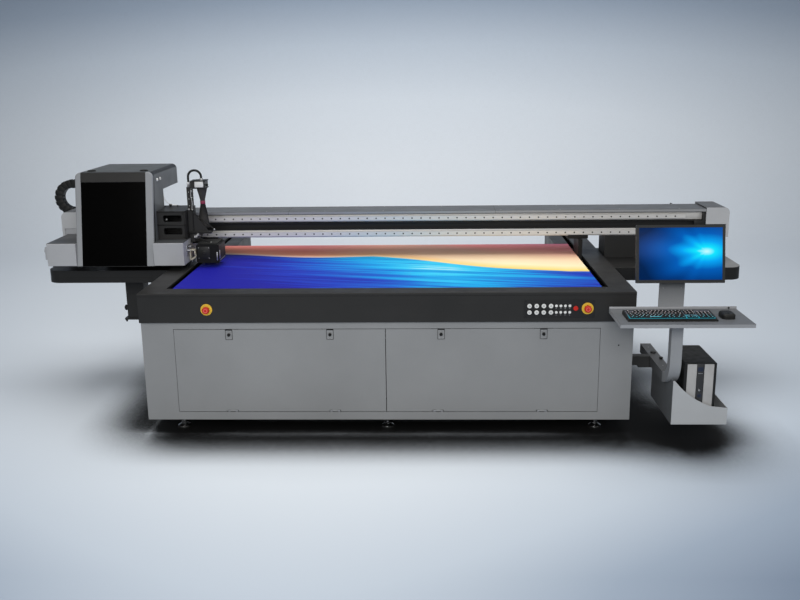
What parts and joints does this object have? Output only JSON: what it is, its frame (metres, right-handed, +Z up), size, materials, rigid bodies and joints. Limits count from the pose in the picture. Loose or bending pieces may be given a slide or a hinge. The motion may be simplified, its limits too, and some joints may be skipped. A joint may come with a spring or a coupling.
{
  "type": "flatbed uv printer",
  "caption": "Large flatbed UV printer: a moving gantry with a hooded print carriage over a vacuum table, a cabinet below and an operator arm with screen and computer.",
  "frame": {"origin": "on the floor, under the middle of the whole machine", "axes": "+X along the beam towards the operator arm, +Y from the front to the rear, +Z up"},
  "size_m": [4.6199, 2.355, 1.4699],
  "materials": {
    "dark_frame": "satin black powder coat",
    "grey_panel": "matt mid-grey powder coat",
    "light_grey": "satin light-grey enamel",
    "table_black": "satin black powder coat",
    "steel": "ground bearing steel",
    "aluminium": "machined and anodised",
    "chrome": "bright plated",
    "print": "white board with a cured colour print",
    "black_gloss": "gloss black acrylic",
    "black_plastic": "moulded black",
    "red_plastic": "moulded red",
    "yellow_plastic": "moulded yellow",
    "white_plastic": "moulded white",
    "belt": "toothed belt rubber",
    "screen": "black bezel and lit panel"
  },
  "bodies": {
    "base": {"base_frame": "dark_frame", "cabinet_panels": "grey_panel", "door_hinge_pins": "steel", "levelling_feet": "chrome", "table_surround": "table_black", "vacuum_bed": "aluminium", "print_board": "print", "y_rails": "steel", "estop_rings": "yellow_plastic", "control_panel": "aluminium", "indicator_lamps": "white_plastic", "arm_stub": "dark_frame"},
    "door_left": {"door_left": "grey_panel", "latch_plates_left": "chrome"},
    "door_right": {"door_right": "grey_panel", "latch_plates_right": "chrome"},
    "y_screw_left": {"y_screw_left": "steel"},
    "y_screw_right": {"y_screw_right": "steel"},
    "estop_left": {"estop_left": "red_plastic"},
    "estop_right": {"estop_right": "red_plastic"},
    "gantry": {"gantry_beam": "dark_frame", "beam_cover": "light_grey", "x_rails": "steel", "beam_end_caps": "light_grey", "gantry_legs": "dark_frame", "service_trays": "table_black", "tray_supports": "table_black", "x_belt": "belt", "chain_lower_run": "black_plastic"},
    "x_pulley_idler": {"x_pulley_idler": "aluminium"},
    "x_pulley_drive": {"x_pulley_drive": "aluminium"},
    "carriage": {"carriage_hood": "light_grey", "hood_front_panel": "black_gloss", "carriage_skirt": "light_grey", "carriage_plate": "table_black", "chain_loop": "black_plastic", "lamp_bracket": "table_black", "uv_lamp": "table_black", "lamp_hose": "black_plastic"},
    "head_lift": {"print_heads": "steel"},
    "arm": {"monitor_arm": "light_grey", "keyboard_tray": "light_grey", "keyboard": "black_plastic", "mouse": "black_plastic", "pc_bracket": "light_grey", "pc_tower": "black_plastic"},
    "monitor": {"monitor": "screen"},
    "latch_knob_1": {"latch_knob_1": "black_plastic"},
    "latch_knob_2": {"latch_knob_2": "black_plastic"},
    "latch_knob_3": {"latch_knob_3": "black_plastic"},
    "latch_knob_4": {"latch_knob_4": "black_plastic"},
    "button_1": {"button_1": "white_plastic"},
    "button_2": {"button_2": "white_plastic"},
    "button_3": {"button_3": "white_plastic"},
    "button_4": {"button_4": "white_plastic"},
    "button_5": {"button_5": "white_plastic"},
    "button_6": {"button_6": "white_plastic"},
    "button_7": {"button_7": "white_plastic"},
    "button_8": {"button_8": "white_plastic"},
    "button_red": {"button_red": "red_plastic"}
  },
  "joints": [
    {"name": "gantry_y", "type": "slide", "parent": "base", "child": "gantry", "axis": [0, 1, 0], "range_m": [-0.6, 0.6]},
    {"name": "carriage_x", "type": "slide", "parent": "gantry", "child": "carriage", "axis": [1, 0, 0], "range_m": [0, 3], "deforming": ["chain_lower_run"]},
    {"name": "head_lift_z", "type": "slide", "parent": "carriage", "child": "head_lift", "axis": [0, 0, 1], "range_m": [0, 0.05]},
    {"name": "y_screw_left_turn", "type": "hinge", "parent": "base", "child": "y_screw_left", "pos_m": [-1.26, 0.1775, 0.724], "axis": [0, 1, 0], "range_deg": [-5500, 5500]},
    {"name": "y_screw_right_turn", "type": "hinge", "parent": "base", "child": "y_screw_right", "pos_m": [1.4, 0.1775, 0.724], "axis": [0, 1, 0], "range_deg": [-5500, 5500]},
    {"name": "x_pulley_idler_turn", "type": "hinge", "parent": "gantry", "child": "x_pulley_idler", "pos_m": [-1.96, 0.2575, 1.054], "axis": [0, 1, 0], "range_deg": [-50, 9000]},
    {"name": "x_pulley_drive_turn", "type": "hinge", "parent": "gantry", "child": "x_pulley_drive", "pos_m": [2.1, 0.2575, 1.054], "axis": [0, 1, 0], "range_deg": [-50, 9000]},
    {"name": "door_left_hinge", "type": "hinge", "parent": "base", "child": "door_left", "pos_m": [-0.53, -0.803, 0.14], "axis": [1, 0, 0], "range_deg": [0, 90]},
    {"name": "door_right_hinge", "type": "hinge", "parent": "base", "child": "door_right", "pos_m": [0.67, -0.803, 0.14], "axis": [1, 0, 0], "range_deg": [0, 90]},
    {"name": "latch_1_turn", "type": "hinge", "parent": "door_left", "child": "latch_knob_1", "pos_m": [-0.828, -0.8065, 0.604], "axis": [0, -1, 0], "range_deg": [0, 90]},
    {"name": "latch_2_turn", "type": "hinge", "parent": "door_left", "child": "latch_knob_2", "pos_m": [-0.247, -0.8065, 0.604], "axis": [0, -1, 0], "range_deg": [0, 90]},
    {"name": "latch_3_turn", "type": "hinge", "parent": "door_right", "child": "latch_knob_3", "pos_m": [0.387, -0.8065, 0.604], "axis": [0, -1, 0], "range_deg": [0, 90]},
    {"name": "latch_4_turn", "type": "hinge", "parent": "door_right", "child": "latch_knob_4", "pos_m": [0.968, -0.8065, 0.604], "axis": [0, -1, 0], "range_deg": [0, 90]},
    {"name": "estop_left_push", "type": "slide", "parent": "base", "child": "estop_left", "axis": [0, 1, 0], "range_m": [0, 0.006], "stiffness_N_per_m": 1500, "springref_m": -0.002},
    {"name": "estop_right_push", "type": "slide", "parent": "base", "child": "estop_right", "axis": [0, 1, 0], "range_m": [0, 0.006], "stiffness_N_per_m": 1500, "springref_m": -0.002},
    {"name": "button_1_push", "type": "slide", "parent": "base", "child": "button_1", "axis": [0, 1, 0], "range_m": [0, 0.003], "stiffness_N_per_m": 600, "springref_m": -0.001},
    {"name": "button_2_push", "type": "slide", "parent": "base", "child": "button_2", "axis": [0, 1, 0], "range_m": [0, 0.003], "stiffness_N_per_m": 600, "springref_m": -0.001},
    {"name": "button_3_push", "type": "slide", "parent": "base", "child": "button_3", "axis": [0, 1, 0], "range_m": [0, 0.003], "stiffness_N_per_m": 600, "springref_m": -0.001},
    {"name": "button_4_push", "type": "slide", "parent": "base", "child": "button_4", "axis": [0, 1, 0], "range_m": [0, 0.003], "stiffness_N_per_m": 600, "springref_m": -0.001},
    {"name": "button_5_push", "type": "slide", "parent": "base", "child": "button_5", "axis": [0, 1, 0], "range_m": [0, 0.003], "stiffness_N_per_m": 600, "springref_m": -0.001},
    {"name": "button_6_push", "type": "slide", "parent": "base", "child": "button_6", "axis": [0, 1, 0], "range_m": [0, 0.003], "stiffness_N_per_m": 600, "springref_m": -0.001},
    {"name": "button_7_push", "type": "slide", "parent": "base", "child": "button_7", "axis": [0, 1, 0], "range_m": [0, 0.003], "stiffness_N_per_m": 600, "springref_m": -0.001},
    {"name": "button_8_push", "type": "slide", "parent": "base", "child": "button_8", "axis": [0, 1, 0], "range_m": [0, 0.003], "stiffness_N_per_m": 600, "springref_m": -0.001},
    {"name": "button_red_push", "type": "slide", "parent": "base", "child": "button_red", "axis": [0, 1, 0], "range_m": [0, 0.003], "stiffness_N_per_m": 600, "springref_m": -0.001},
    {"name": "arm_swing", "type": "hinge", "parent": "base", "child": "arm", "pos_m": [1.659, -0.5225, 0.372], "axis": [0, 0, 1], "range_deg": [0, 35]},
    {"name": "monitor_tilt", "type": "hinge", "parent": "arm", "child": "monitor", "pos_m": [1.659, -0.8525, 1.08], "axis": [-1, 0, 0], "range_deg": [-15, 3]}
  ],
  "couplings": [
    {"joint": "y_screw_left_turn", "follows": "gantry_y", "rad_per_m": 157.08},
    {"joint": "y_screw_right_turn", "follows": "gantry_y", "rad_per_m": 157.08},
    {"joint": "x_pulley_idler_turn", "follows": "carriage_x", "rad_per_m": 49.02},
    {"joint": "x_pulley_drive_turn", "follows": "carriage_x", "rad_per_m": 49.02}
  ]
}
